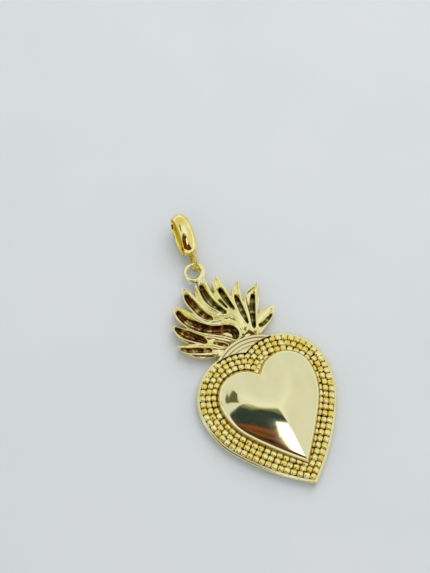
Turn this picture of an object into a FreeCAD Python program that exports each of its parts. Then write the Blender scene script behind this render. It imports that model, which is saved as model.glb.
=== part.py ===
import FreeCAD, Part
import math
import os

import Sketcher
from FreeCAD import Placement, Rotation, Vector

# A sacred heart pendant of cast brass, lying on its flat back.
# +Z is up, +Y runs from the heart's tip to the bail, +X is to the right.
# The origin is on the back, at the middle of the heart's widest line.
# Two pieces: the cast pendant with its hanging ring, and the bail that swings on that ring.

SIZES = [
    ("heart_width", 26.0, "across the heart's widest line"),
    ("heart_notch", 8.22, "the notch between the lobes above the widest line"),
    ("side_radius", 15.0, "radius of the side under the widest line"),
    ("side_sweep", 33.5, "turn of that side before the long run, in degrees"),
    ("lower_radius", 42.0, "radius of the long run to the tip"),
    ("plate_thickness", 1.7, "thickness of the heart's plate"),
    ("rim_width", 0.7, "plain flange outside the beads"),
    ("bead_width", 1.0, "across one bead"),
    ("bead_height", 0.75, "height of a bead above the plate"),
    ("bead_pitch", 1.2, "from one bead to the next along a row"),
    ("row_pitch", 1.05, "from one row of beads to the next"),
    ("dome_height", 3.7, "height of the puffed heart above the plate"),
    ("dome_notch", 2.9, "the puffed heart's notch above the widest line"),
    ("dome_lap", 0.3, "how far the puffed heart laps over the inner row of beads"),
    ("dome_shift", 0.3, "how far the puffed heart stands to the right of the plate's middle"),
    ("collar_radius", 8.8, "radius of the collar's top edge"),
    ("collar_top", 10.4, "the collar's top edge above the widest line"),
    ("collar_height", 2.7, "thickness of the collar"),
    ("moulding_width", 0.5, "width of each band between the lines cut in the collar"),
    ("groove_width", 0.2, "width of a line cut in the collar"),
    ("groove_depth", 0.3, "depth of a line cut in the collar"),
    ("crown_foot", 9.5, "where the flames start above the widest line"),
    ("crown_width", 20.0, "width that the flames are stretched to"),
    ("crown_height", 15.3, "from the flames' foot to the hanging ring's wire"),
    ("flame_height", 2.9, "height of the tallest flame's ridges"),
    ("web_radius", 4.6, "radius of the thin web that joins the flames' feet"),
    ("web_thickness", 1.2, "thickness of that web"),
    ("web_rise", 2.9, "middle of that web above the flames' foot"),
    ("ring_shift", -1.15, "the hanging ring's centre, to the right of the heart's middle"),
    ("ring_radius", 1.68, "the hanging ring, to the middle of its wire"),
    ("ring_wire", 0.95, "thickness of the hanging ring's wire"),
    ("ring_level", 1.45, "height of the hanging ring's wire above the back"),
    ("loop_wire", 0.62, "thickness of the bail's loop"),
    ("loop_clearance", 0.57, "play round the ring's wire inside the loop"),
    ("loop_pull", 0.12, "how far the loop is drawn off the middle of the wire"),
    ("loop_lift", 0.18, "how far the loop is raised off the middle of the wire"),
    ("loop_sink", 0.2, "how far the loop is set into the bail's band"),
    ("bail_length", 8.8, "length of the bail's band"),
    ("bail_height", 5.2, "height of the bail's band"),
    ("bail_width", 2.9, "width of the band along its hole"),
    ("bail_wall", 0.85, "thickness of the band at its middle"),
    ("bail_bevel", 0.5, "bevel of the band's two outer edges"),
]

BEAD_ROWS = 3
BEAD_TOP = 0.55         # share of a bead's width left at its top
SINK = 0.2              # how far a raised form is set into what carries it
FLATNESS = 1e-6         # a side that twists by less than this stays one flat face

# The puffed heart's sections: share of its outline, share of its height.
DOME_SECTIONS = [(1.0, 0.0), (0.98, 0.34), (0.92, 0.6), (0.8, 0.81), (0.6, 0.94), (0.3, 1.0)]
DOME_MIDDLE = 2.6       # how far below the widest line the sections close in

COLLAR_LINES = 3        # lines cut in the collar, one inside the other

# The flames are drawn 20 mm wide and 15.3 mm high, from their foot to the ring.
DRAWN_WIDTH = 20.0
DRAWN_HEIGHT = 15.3

# Each flame: share of the height, then the line of its hollow from foot to tip as (across, up, half width).
FLAMES = {
    "flame_low_left": (0.82, [(-2.6, 0.3, 1.0), (-5.4, 1.4, 1.2), (-8.3, 3.0, 1.1), (-10.7, 4.9, 0.2)]),
    "flame_left": (0.88, [(-1.8, 1.2, 1.3), (-5.2, 3.7, 1.55), (-8.1, 6.2, 1.3), (-9.7, 8.8, 0.2)]),
    "flame_high_left": (0.97, [(0.0, 0.8, 1.5), (-0.9, 3.7, 1.7), (-4.0, 5.9, 1.6), (-6.8, 9.0, 1.4),
                               (-7.7, 12.0, 0.35)]),
    "flame_tall_left": (0.95, [(1.6, 1.6, 1.2), (0.5, 5.3, 1.4), (-2.8, 7.8, 1.2), (-4.4, 11.0, 1.15),
                               (-4.5, 14.8, 0.2)]),
    "flame_inner_left": (0.82, [(0.4, 6.0, 0.9), (-2.0, 8.7, 0.85), (-2.7, 12.0, 0.6), (-2.2, 14.4, 0.15)]),
    "flame_middle": (1.0, [(2.2, 1.6, 1.0), (1.2, 5.8, 1.2), (-0.8, 9.5, 1.2), (-1.0, 13.2, 1.0)]),
    "flame_tall_right": (0.95, [(2.4, 1.6, 1.0), (2.1, 6.4, 1.1), (1.4, 10.8, 1.2), (2.1, 14.0, 0.2)]),
    "flame_spur": (0.85, [(1.3, 9.5, 0.85), (1.0, 11.8, 0.7), (0.9, 13.4, 0.15)]),
    "flame_high_right": (0.92, [(2.8, 1.6, 0.8), (3.0, 5.5, 0.95), (3.8, 9.2, 0.95), (5.4, 11.3, 0.15)]),
    "flame_right": (0.92, [(3.4, 1.2, 0.8), (4.6, 4.4, 1.05), (6.2, 7.2, 1.4), (8.6, 9.2, 0.2)]),
    "flame_low_right": (0.82, [(3.3, 0.6, 0.9), (5.4, 2.1, 1.25), (7.4, 3.2, 1.25), (9.1, 3.9, 0.2)]),
}
RING_FLAME = "flame_middle"     # its tip runs into the hanging ring
RING_FLAME_ANGLE = -70.0        # place of that tip on the ring, in degrees from +X
RING_FLAME_WIDTH = 0.45         # half width of that tip

MIDWAY_SWELL = 1.08     # half way between two points a flame is this much wider than their mean
TIP_DROP = 0.3          # share of a flame's height lost at its tip
HOLLOW_FOOT = 0.35      # share of the height that the hollow is cut down by, at the foot
HOLLOW_MIDDLE = 0.55    # and half way along
HOLLOW_TIP = 0.1        # and at the tip
RIDGE_PLACE = 0.74      # share of the half width where a ridge stands
FLOOR_PLACE = 0.24      # share of the half width that the hollow's floor reaches
WIRE_SIDES = 8          # the cast ring and the bail's loop are worked to eight flats round their wire

LOOP_ANGLE = 62.0       # place of the bail's loop on the ring, in degrees from +X
BAIL_TURN = -4.0        # the bail about the vertical, in degrees
BAIL_LEAN = 14.0        # the bail to its left
BAIL_RISE = 12.5        # the bail up towards its far end


doc = FreeCAD.newDocument("sacred_heart_pendant")
sheet = doc.addObject("Spreadsheet::Sheet", "sizes")
for row, (alias, value, note) in enumerate(SIZES, start=1):
    sheet.set("A%d" % row, alias)
    sheet.set("B%d" % row, str(value))
    sheet.set("C%d" % row, note)
    sheet.setAlias("B%d" % row, alias)
doc.recompute()


def size(alias):
    return float(getattr(sheet, alias))


def bind(obj, **expressions):
    """Tie properties of an object to the sheet."""
    for name, expression in expressions.items():
        obj.setExpression(name, expression)


def bead_inset(row_number):
    """From the heart's edge to the middle of a row of beads, row 0 being the outer one."""
    return size("rim_width") + size("bead_width") / 2 + row_number * size("row_pitch")


LOBE_RADIUS = "((sizes.heart_notch ^ 2 + (sizes.heart_width / 2) ^ 2) / sizes.heart_width)"
DOME_INSET = "(sizes.rim_width + sizes.bead_width + %d * sizes.row_pitch - sizes.dome_lap)" % (BEAD_ROWS - 1)
DOME_HALF = "(sizes.heart_width / 2 - %s)" % DOME_INSET
DOME_LOBE_RADIUS = "((sizes.dome_notch ^ 2 + %s ^ 2) / (2 * %s))" % (DOME_HALF, DOME_HALF)


def lobe_radius(notch, half):
    """The radius of a lobe that is half wide in all and meets its twin at the notch."""
    return (notch ** 2 + half ** 2) / (2 * half)


def dome_inset():
    return bead_inset(BEAD_ROWS - 1) + size("bead_width") / 2 - size("dome_lap")


def heart_arcs(inset, scale=1.0, notch=None):
    """The right half's lobe, side and lower arcs, set in from the edge and then scaled.

    The lobes are set in with the edge, unless a notch of their own is given.
    """
    half = size("heart_width") / 2
    joint = math.radians(-size("side_sweep"))
    outward = Vector(math.cos(joint), math.sin(joint), 0)
    side = size("side_radius")
    lower = size("lower_radius")
    if notch is None:
        lobe = lobe_radius(size("heart_notch"), half) - inset
    else:
        lobe = lobe_radius(notch, half - inset)
    lobe_centre = Vector(half - inset - lobe, 0, 0)
    side_centre = Vector(half - side, 0, 0)
    lower_centre = side_centre - outward * (lower - side)
    notch_angle = math.acos(-lobe_centre.x / lobe)
    tip_angle = -math.acos(-lower_centre.x / (lower - inset))
    arcs = []
    for centre, radius, first, last in (
        (lobe_centre, lobe, 0.0, notch_angle),
        (side_centre, side - inset, joint, 0.0),
        (lower_centre, lower - inset, tip_angle, joint),
    ):
        circle = Part.Circle(centre * scale, Vector(0, 0, 1), radius * scale)
        arcs.append(Part.ArcOfCircle(circle, first, last))
    return arcs


def flat_sided_loft(sections):
    """A solid through like sections of corners, its sides split in two where they would twist."""
    ends = (list(reversed(sections[0])), sections[-1])
    faces = [Part.Face(Part.makePolygon(end + end[:1])) for end in ends]
    for lower, upper in zip(sections, sections[1:]):
        for corner in range(len(lower)):
            after = (corner + 1) % len(lower)
            quad = [lower[corner], lower[after], upper[after], upper[corner]]
            lift = (quad[1] - quad[0]).cross(quad[2] - quad[0]).normalize().dot(quad[3] - quad[0])
            sides = [quad] if abs(lift) < FLATNESS else [quad[:3], [quad[0], quad[2], quad[3]]]
            faces += [Part.Face(Part.makePolygon(side + side[:1])) for side in sides]
    solid = Part.makeSolid(Part.makeShell(faces))
    if solid.Volume < 0:
        solid.reverse()
    return solid


def body_plane(body, role="XY_Plane"):
    return [feature for feature in body.Origin.OriginFeatures if feature.Role == role][0]


def half_heart_sketch(body, name, arcs, inset, lobe_radius_now, scale, level):
    """The right half of a heart's outline, closed along its middle; sizes after arcs are expressions."""
    sketch = body.newObject("Sketcher::SketchObject", name)
    sketch.AttachmentSupport = [(body_plane(body), "")]
    sketch.MapMode = "FlatFace"
    bind(sketch, **{
        ".AttachmentOffset.Base.z": level,
        ".AttachmentOffset.Base.y": "-%g * %g" % (DOME_MIDDLE, 1 - scale),
    })
    lobe, side, lower = arcs
    middle = Part.LineSegment(lobe.EndPoint, lower.StartPoint)
    for shape in (lobe, side, lower, middle):
        sketch.addGeometry(shape, False)
    start, end, centre = 1, 2, 3
    x_axis, y_axis, origin = -1, -2, -1
    sketch.addConstraint([
        Sketcher.Constraint("PointOnObject", 0, centre, x_axis),
        Sketcher.Constraint("PointOnObject", 0, start, x_axis),
        Sketcher.Constraint("PointOnObject", 0, end, y_axis),
        Sketcher.Constraint("Coincident", 1, end, 0, start),
        Sketcher.Constraint("PointOnObject", 1, centre, x_axis),
        Sketcher.Constraint("Tangent", 2, end, 1, start),
        Sketcher.Constraint("PointOnObject", 2, start, y_axis),
        Sketcher.Constraint("Coincident", 3, start, 0, end),
        Sketcher.Constraint("Coincident", 3, end, 2, start),
    ])
    half_width = Sketcher.Constraint("DistanceX", origin, 1, 0, start, lobe.StartPoint.x)
    sweep = Sketcher.Constraint("Angle", 1, side.LastParameter - side.FirstParameter)
    smaller = " - %s) * %g" % (inset, scale)
    driven = [
        ("half_width", half_width, "(sizes.heart_width / 2" + smaller),
        ("lobe", Sketcher.Constraint("Radius", 0, lobe.Radius), "%s * %g" % (lobe_radius_now, scale)),
        ("side", Sketcher.Constraint("Radius", 1, side.Radius), "(sizes.side_radius" + smaller),
        ("sweep", sweep, "sizes.side_sweep"),
        ("lower", Sketcher.Constraint("Radius", 2, lower.Radius), "(sizes.lower_radius" + smaller),
    ]
    for label, constraint, expression in driven:
        index = sketch.addConstraint(constraint)
        sketch.renameConstraint(index, label)
        sketch.setExpression("Constraints." + label, expression)
    return sketch


def mirrored(body, feature):
    """The other half of a feature, across the body's own middle plane."""
    other = body.newObject("PartDesign::Mirrored", feature.Name + "_mirrored")
    other.Originals = [feature]
    other.MirrorPlane = (body_plane(body, "YZ_Plane"), [""])
    body.Tip = other
    return other


def heart_plate():
    """The flat heart with its square edge."""
    body = doc.addObject("PartDesign::Body", "heart_plate")
    pad = body.newObject("PartDesign::Pad", "plate")
    pad.Profile = half_heart_sketch(body, "plate_outline", heart_arcs(0.0), "0", LOBE_RADIUS, 1.0, "0")
    bind(pad, Length="sizes.plate_thickness")
    mirrored(body, pad)
    return body


def puffed_heart():
    """The heart that is puffed up inside the beads."""
    body = doc.addObject("PartDesign::Body", "puffed_heart")
    sections = []
    for number, (share, rise) in enumerate(DOME_SECTIONS):
        arcs = heart_arcs(dome_inset(), share, size("dome_notch"))
        level = "sizes.plate_thickness - %g + (sizes.dome_height + %g) * %g" % (SINK, SINK, rise)
        name = "dome_outline_%d" % number
        sections.append(half_heart_sketch(body, name, arcs, DOME_INSET, DOME_LOBE_RADIUS, share, level))
    dome = body.newObject("PartDesign::AdditiveLoft", "dome")
    dome.Profile = sections[0]
    dome.Sections = sections[1:]
    dome.Ruled = True
    mirrored(body, dome)
    bind(body, **{".Placement.Base.x": "sizes.dome_shift"})
    return body


def bead_solid():
    """One bead, its foot sunk under z = 0: a square stud that narrows to its flat top."""
    half = size("bead_width") / 2
    levels = []
    for reach, level in ((half, -SINK), (half * BEAD_TOP, size("bead_height"))):
        levels.append([Vector(x * reach, y * reach, level) for x, y in ((-1, -1), (1, -1), (1, 1), (-1, 1))])
    return flat_sided_loft(levels)


def bead_rows():
    """Rows of beads that follow the heart's edge, one inside the other, evenly spaced from tip to notch."""
    bead = bead_solid()
    beads = []
    for row_number in range(BEAD_ROWS):
        run = Part.Wire([arc.toShape() for arc in reversed(heart_arcs(bead_inset(row_number)))])
        count = round(run.Length / size("bead_pitch"))
        points = run.discretize(Number=count + 1)
        for index, point in enumerate(points):
            before = points[max(index - 1, 0)]
            after = points[min(index + 1, count)]
            turn = math.degrees(math.atan2(after.y - before.y, after.x - before.x))
            for side in (1, -1):
                if side < 0 and index in (0, count):
                    continue
                place = Vector(side * point.x, point.y, size("plate_thickness"))
                copy = bead.copy()
                copy.Placement = Placement(place, Rotation(Vector(0, 0, 1), side * turn))
                beads.append(copy)
    feature = doc.addObject("Part::Feature", "beads")
    feature.Shape = Part.makeCompound(beads)
    return feature


def collar():
    """The panel between the lobes: a disc with lines cut round its edge, less the field of the beads."""
    body = doc.addObject("PartDesign::Body", "collar_disc")

    def ring_sketch(name, radii, level):
        sketch = body.newObject("Sketcher::SketchObject", name)
        sketch.AttachmentSupport = [(body_plane(body), "")]
        sketch.MapMode = "FlatFace"
        bind(sketch, **{
            ".AttachmentOffset.Base.y": "sizes.collar_top - sizes.collar_radius",
            ".AttachmentOffset.Base.z": level,
        })
        for number, (radius_now, expression) in enumerate(radii):
            sketch.addGeometry(Part.Circle(Vector(0, 0, 0), Vector(0, 0, 1), radius_now), False)
            sketch.addConstraint(Sketcher.Constraint("Coincident", number, 3, -1, 1))
            index = sketch.addConstraint(Sketcher.Constraint("Radius", number, radius_now))
            label = "radius_%d" % number
            sketch.renameConstraint(index, label)
            sketch.setExpression("Constraints." + label, expression)
        return sketch

    disc = body.newObject("PartDesign::Pad", "disc")
    disc.Profile = ring_sketch("disc_outline", [(size("collar_radius"), "sizes.collar_radius")], "0")
    bind(disc, Length="sizes.collar_height")
    for line in range(COLLAR_LINES):
        outer_now = size("collar_radius") - (line + 1) * size("moulding_width") - line * size("groove_width")
        outer = "sizes.collar_radius - %d * sizes.moulding_width - %d * sizes.groove_width" % (line + 1, line)
        radii = [(outer_now, outer), (outer_now - size("groove_width"), outer + " - sizes.groove_width")]
        groove = body.newObject("PartDesign::Pocket", "line_%d" % line)
        groove.Profile = ring_sketch("line_outline_%d" % line, radii, "sizes.collar_height")
        bind(groove, Length="sizes.groove_depth")
    field = doc.addObject("PartDesign::Body", "bead_field")
    space = field.newObject("PartDesign::Pad", "field_space")
    arcs = heart_arcs(size("rim_width"))
    lobe = "(%s - sizes.rim_width)" % LOBE_RADIUS
    space.Profile = half_heart_sketch(field, "field_outline", arcs, "sizes.rim_width", lobe, 1.0,
                                      "sizes.plate_thickness")
    bind(space, Length="sizes.collar_height")
    mirrored(field, space)
    panel = doc.addObject("Part::Cut", "collar")
    panel.Base = body
    panel.Tool = field
    return panel


def ring_centre():
    up = size("crown_foot") + size("crown_height") + size("ring_radius")
    return Vector(size("ring_shift"), up, size("ring_level"))


def on_ring(degrees):
    """A point on the middle line of the hanging ring's wire."""
    angle = math.radians(degrees)
    return ring_centre() + Vector(math.cos(angle), math.sin(angle), 0) * size("ring_radius")


def hollow_share(run):
    """How much of a flame's height its hollow takes, at a share of its run."""
    if run < 0.5:
        return HOLLOW_FOOT + (HOLLOW_MIDDLE - HOLLOW_FOOT) * run * 2
    return HOLLOW_MIDDLE + (HOLLOW_TIP - HOLLOW_MIDDLE) * (run * 2 - 1) ** 2


def flame(name, height_share, line):
    """One lick of flame: two ridges round a hollow, lofted along the line of the hollow."""
    across = size("crown_width") / DRAWN_WIDTH
    along = size("crown_height") / DRAWN_HEIGHT
    points = [Vector(x * across, size("crown_foot") + y * along, 0) for x, y, _ in line]
    widths = [half_width * across for _, _, half_width in line]
    if name == RING_FLAME:
        tip = on_ring(RING_FLAME_ANGLE)
        points.append(Vector(tip.x, tip.y, 0))
        widths.append(RING_FLAME_WIDTH * across)
    spine = Part.BSplineCurve()
    spine.interpolate(points)
    stations = []
    for point, width in zip(points, widths):
        stations.append((spine.parameter(point), width))
    for (start, width), (end, next_width) in list(zip(stations, stations[1:])):
        stations.append(((start + end) / 2, (width + next_width) / 2 * MIDWAY_SWELL))
    sections = []
    for parameter, half in sorted(stations):
        centre = spine.value(parameter)
        run = spine.length(spine.FirstParameter, parameter) / spine.length()
        ahead = spine.tangent(parameter)[0]
        sideways = Vector(-ahead.y, ahead.x, 0)
        crest = size("flame_height") * height_share * (1 - TIP_DROP * run ** 3)
        floor = crest * (1 - hollow_share(run))
        shape = [
            (-1.0, 0.0),
            (-RIDGE_PLACE, crest),
            (-FLOOR_PLACE, floor),
            (FLOOR_PLACE, floor),
            (RIDGE_PLACE, crest),
            (1.0, 0.0),
        ]
        sections.append([centre + sideways * (half * side) + Vector(0, 0, up) for side, up in shape])
    feature = doc.addObject("Part::Feature", name)
    feature.Shape = flat_sided_loft(sections)
    return feature


def crown_web():
    """The thin floor between the feet of the flames."""
    web = doc.addObject("Part::Cylinder", "crown_web")
    bind(web, **{
        "Radius": "sizes.web_radius",
        "Height": "sizes.web_thickness",
        ".Placement.Base.y": "sizes.crown_foot + sizes.web_rise",
    })
    return web


def wire_ring(name, radius, wire):
    """A ring about Z whose wire has eight flats, as a polygon turned about Z; the sizes are expressions."""
    section = doc.addObject("Part::RegularPolygon", name + "_section")
    section.Polygon = WIRE_SIDES
    section.Placement = Placement(Vector(0, 0, 0), Rotation(Vector(1, 0, 0), 90))
    bind(section, **{"Circumradius": wire + " / 2", ".Placement.Base.x": radius})
    ring = doc.addObject("Part::Revolution", name)
    ring.Source = section
    ring.Axis = Vector(0, 0, 1)
    ring.Angle = 360
    ring.Solid = True
    return ring


def hanging_ring():
    """The round ring at the top of the crown."""
    ring = wire_ring("hanging_ring", "sizes.ring_radius", "sizes.ring_wire")
    bind(ring, **{
        ".Placement.Base.x": "sizes.ring_shift",
        ".Placement.Base.y": "sizes.crown_foot + sizes.crown_height + sizes.ring_radius",
        ".Placement.Base.z": "sizes.ring_level",
    })
    return ring


LOOP_RADIUS = "(sizes.ring_wire / 2 + sizes.loop_clearance + sizes.loop_wire / 2)"
BAND_FOOT = "sizes.loop_pull + %s + sizes.loop_wire / 2 - sizes.loop_sink" % LOOP_RADIUS
X_TO_Y_TO_Z = Rotation(Vector(1, 1, 1), 120)    # turns Z to X, X to Y and Y to Z


def oval_prism(name, half_length, half_height, width):
    """An oval bar along X, its long way along Y, at the band's place; the sizes are expressions."""
    outline = doc.addObject("Part::Ellipse", name + "_outline")
    outline.Placement = Placement(Vector(0, 0, 0), X_TO_Y_TO_Z)
    bind(outline, **{
        "MajorRadius": half_length,
        "MinorRadius": half_height,
        ".Placement.Base.y": BAND_FOOT + " + sizes.bail_length / 2",
        ".Placement.Base.z": "sizes.loop_lift",
    })
    bar = doc.addObject("Part::Extrusion", name)
    bar.Base = outline
    bar.DirMode = "Custom"
    bar.Dir = Vector(1, 0, 0)
    bar.Symmetric = True
    bar.Solid = True
    bind(bar, LengthFwd=width)
    return bar


def bail():
    """The oval domed band with the small loop that is threaded round the hanging ring.

    It is drawn with the middle of the ring's wire at its origin, its hole along X and its length along Y.
    """
    blank = oval_prism("band_blank", "sizes.bail_length / 2", "sizes.bail_height / 2", "sizes.bail_width")
    hole = oval_prism("hole", "sizes.bail_length / 2 - sizes.bail_wall",
                      "sizes.bail_height / 2 - sizes.bail_wall", "sizes.bail_width * 2")
    doc.recompute()
    band = doc.addObject("Part::Chamfer", "band")
    band.Base = blank
    rims = [number for number, edge in enumerate(blank.Shape.Edges, start=1) if edge.isClosed()]
    band.Edges = [(number, size("bail_bevel"), size("bail_bevel")) for number in rims]
    loop = wire_ring("loop", LOOP_RADIUS, "sizes.loop_wire")
    loop.Placement = Placement(Vector(0, 0, 0), X_TO_Y_TO_Z)
    bind(loop, **{
        ".Placement.Base.y": "sizes.loop_pull",
        ".Placement.Base.z": "sizes.loop_lift",
    })
    joined = doc.addObject("Part::Fuse", "band_and_loop")
    joined.Base = band
    joined.Tool = loop
    whole = doc.addObject("Part::Cut", "bail")
    whole.Base = joined
    whole.Tool = hole
    whole.Label = "bail"
    turn = Rotation(Vector(0, 0, 1), BAIL_TURN)
    lean = Rotation(Vector(0, 1, 0), BAIL_LEAN)
    rise = Rotation(Vector(1, 0, 0), BAIL_RISE)
    whole.Placement = Placement(on_ring(LOOP_ANGLE), turn.multiply(lean).multiply(rise))
    return whole


def heart_casting():
    """Everything that is cast in one with the heart."""
    pieces = [heart_plate(), puffed_heart(), bead_rows(), collar(), crown_web(), hanging_ring()]
    pieces += [flame(name, *drawn) for name, drawn in FLAMES.items()]
    casting = doc.addObject("Part::MultiFuse", "heart_casting")
    casting.Shapes = pieces
    casting.Refine = True
    casting.Label = "heart_casting"
    return casting


nodes = [heart_casting(), bail()]
doc.recompute()

failed = [obj.Label for obj in doc.Objects if "Invalid" in obj.State or "Error" in obj.State]
if failed:
    raise RuntimeError("failed: " + ", ".join(failed))
for node in nodes:
    shape = node.Shape
    if shape.isNull() or not shape.isValid() or len(shape.Solids) != 1:
        raise RuntimeError("%s is not one valid solid" % node.Label)

os.makedirs("parts", exist_ok=True)
for node in nodes:
    node.Shape.exportStep("parts/%s.step" % node.Label)
    box = node.Shape.BoundBox
    print("%s: %.2f x %.2f x %.2f mm, %.1f mm3, from z %.3f" % (
        node.Label, box.XLength, box.YLength, box.ZLength, node.Shape.Volume, box.ZMin))
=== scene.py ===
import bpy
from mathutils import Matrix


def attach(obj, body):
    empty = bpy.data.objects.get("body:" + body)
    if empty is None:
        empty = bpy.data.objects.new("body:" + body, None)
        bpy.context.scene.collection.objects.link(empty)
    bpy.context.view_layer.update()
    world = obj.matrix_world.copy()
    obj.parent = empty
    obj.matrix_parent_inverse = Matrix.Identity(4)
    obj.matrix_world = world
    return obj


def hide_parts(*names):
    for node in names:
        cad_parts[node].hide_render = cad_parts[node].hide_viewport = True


bl_info = {
    "name": "Sacred heart pendant",
    "version": (1, 0, 0),
    "blender": (4, 5, 0),
    "location": "View3D > Sidebar > Pendant",
    "description": "Builds a gilt sacred heart pendant with its bail, and the studio round it",
    "category": "Object",
}

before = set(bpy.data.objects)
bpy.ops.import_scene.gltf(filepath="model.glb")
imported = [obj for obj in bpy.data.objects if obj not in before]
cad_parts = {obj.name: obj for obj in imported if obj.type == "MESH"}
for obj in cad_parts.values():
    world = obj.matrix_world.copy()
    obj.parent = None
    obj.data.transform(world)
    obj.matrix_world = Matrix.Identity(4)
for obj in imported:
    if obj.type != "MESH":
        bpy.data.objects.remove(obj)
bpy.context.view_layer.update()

import math

import bmesh
import bpy
import numpy as np
from bpy.props import FloatProperty, FloatVectorProperty, IntProperty, PointerProperty
from mathutils import Euler, Matrix, Vector

MM = 0.001
PENDANT = "pendant"
BAIL = "bail"
CASTING_NODE = "heart_casting"
BAIL_NODE = "bail"

# The camera: the picture's size and focal length in pixels, and its place in degrees and millimetres.
PHOTO_SIZE = (430, 573)
FOCAL_PIXELS = 863.2
CAMERA_AZIMUTH = -27.43
CAMERA_ELEVATION = 70.12
CAMERA_DISTANCE = 167.0
CAMERA_TARGET = (1.35, 22.56, 0.0)

# The flames are drawn from their foot on the collar: across, up and half width, in millimetres.
FLAMES = {
    "low_left": [(-2.6, 0.3, 1.0), (-5.4, 1.3, 1.25), (-7.8, 2.5, 1.3), (-9.6, 3.9, 0.8), (-10.7, 4.9, 0.15)],
    "left": [(-1.8, 1.2, 1.3), (-4.5, 3.2, 1.6), (-7.0, 4.9, 1.7), (-8.7, 6.7, 1.15), (-9.5, 8.2, 0.6),
             (-9.7, 8.9, 0.15)],
    "high_left": [(0.0, 0.8, 1.5), (-0.9, 3.7, 1.8), (-3.5, 5.5, 1.7), (-5.7, 7.4, 1.6), (-7.0, 9.4, 1.4),
                  (-7.6, 11.0, 1.0), (-7.7, 12.0, 0.3)],
    "tall_left": [(1.6, 1.6, 1.2), (0.5, 5.3, 1.5), (-2.0, 6.9, 1.3), (-3.6, 8.8, 1.2), (-4.4, 11.0, 1.2),
                  (-4.6, 13.2, 0.95), (-4.5, 14.8, 0.2)],
    "inner_left": [(0.4, 6.0, 0.9), (-1.8, 8.3, 0.9), (-2.7, 11.0, 0.7), (-2.6, 13.0, 0.5),
                   (-2.2, 14.4, 0.12)],
    "middle": [(2.2, 1.6, 1.0), (1.2, 5.8, 1.2), (-0.4, 8.4, 1.2), (-1.1, 11.0, 1.2), (-1.0, 13.2, 1.0),
               (-0.5, 15.2, 0.7)],
    "tall_right": [(2.4, 1.6, 1.0), (2.1, 6.4, 1.1), (1.5, 9.4, 1.25), (1.4, 11.8, 1.15), (2.1, 14.0, 0.15)],
    "spur": [(1.3, 9.5, 0.9), (1.0, 12.0, 0.7), (1.0, 13.4, 0.15)],
    "high_right": [(2.8, 1.6, 0.8), (3.0, 5.5, 0.95), (3.5, 8.3, 1.05), (4.3, 10.0, 0.75), (5.4, 11.3, 0.12)],
    "right": [(3.4, 1.2, 0.8), (4.4, 4.0, 1.0), (5.6, 6.3, 1.5), (6.9, 8.1, 1.2), (8.6, 9.2, 0.15)],
    "low_right": [(3.3, 0.6, 0.9), (5.0, 1.8, 1.2), (6.8, 2.9, 1.4), (8.2, 3.5, 0.95), (9.1, 3.9, 0.15)],
}

# Lines of the relief on the flames: points (across, up), width and rise or depth, in millimetres.
RIDGES = [
    ([(-10.7, 4.9), (-8.7, 3.8), (-7.2, 3.4), (-5.5, 2.8), (-4.0, 1.5), (-3.0, 0.8)], 0.3, 0.55),
    ([(-10.6, 4.6), (-9.8, 3.2), (-8.3, 2.2), (-6.5, 1.2), (-5.0, 0.5)], 0.3, 0.45),
    ([(-9.6, 8.8), (-8.6, 8.5), (-7.2, 7.2), (-6.4, 5.8), (-5.0, 4.6), (-3.5, 3.6), (-2.0, 2.4),
      (-1.0, 1.4)], 0.32, 0.6),
    ([(-9.7, 8.7), (-9.8, 7.0), (-9.2, 5.8), (-8.0, 4.6), (-6.4, 3.4)], 0.3, 0.5),
    ([(-7.6, 11.9), (-6.6, 11.4), (-5.8, 9.5), (-4.9, 7.6), (-3.7, 6.2), (-2.0, 5.2), (-0.3, 4.8), (0.7, 3.9),
      (1.1, 2.6), (0.7, 1.2)], 0.36, 0.75),
    ([(-8.2, 11.8), (-8.2, 10.0), (-7.9, 8.7), (-6.9, 7.0), (-5.8, 5.5), (-4.6, 4.6)], 0.3, 0.55),
    ([(-4.6, 14.7), (-4.2, 14.0), (-3.8, 12.8), (-3.3, 11.0), (-2.9, 9.2), (-2.2, 7.9), (-1.4, 7.0),
      (0.4, 6.2)], 0.32, 0.7),
    ([(-5.1, 14.2), (-5.4, 12.0), (-5.0, 10.4), (-4.6, 8.5), (-3.8, 7.2), (-2.8, 6.3),
      (-1.0, 5.8)], 0.3, 0.6),
    ([(-2.2, 14.2), (-2.4, 12.4), (-2.4, 10.6), (-1.8, 9.0), (-0.9, 7.8), (0.2, 6.9)], 0.28, 0.6),
    ([(-0.3, 15.4), (-0.4, 13.0), (-0.5, 11.0), (-0.1, 9.0), (0.5, 7.3), (1.1, 6.0), (1.9, 4.4),
      (2.2, 2.6)], 0.32, 0.85),
    ([(2.1, 13.9), (2.3, 12.0), (2.4, 10.0), (2.3, 8.0), (2.4, 6.0), (2.7, 3.6), (2.7, 1.8)], 0.28, 0.75),
    ([(0.9, 13.2), (0.7, 11.4), (0.9, 9.4), (1.4, 7.4), (2.0, 5.6), (2.4, 3.6)], 0.26, 0.65),
    ([(5.4, 11.2), (4.6, 9.3), (4.1, 7.5), (3.9, 5.8), (3.6, 4.0), (3.2, 2.4), (3.0, 1.2)], 0.26, 0.7),
    ([(3.6, 10.2), (3.0, 8.5), (2.7, 7.0), (2.7, 5.0)], 0.26, 0.55),
    ([(8.5, 9.1), (7.2, 7.5), (6.3, 6.0), (5.4, 4.3), (4.5, 2.7), (3.7, 1.2)], 0.3, 0.7),
    ([(7.4, 9.0), (5.2, 8.6), (4.6, 7.0), (4.2, 5.4), (3.9, 3.6), (3.4, 1.8)], 0.28, 0.6),
    ([(9.0, 3.8), (7.0, 3.6), (5.4, 3.0), (4.2, 1.9)], 0.3, 0.5),
    ([(8.6, 3.1), (7.4, 1.8), (5.6, 0.9), (4.2, 0.3)], 0.3, 0.4),
]
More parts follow.
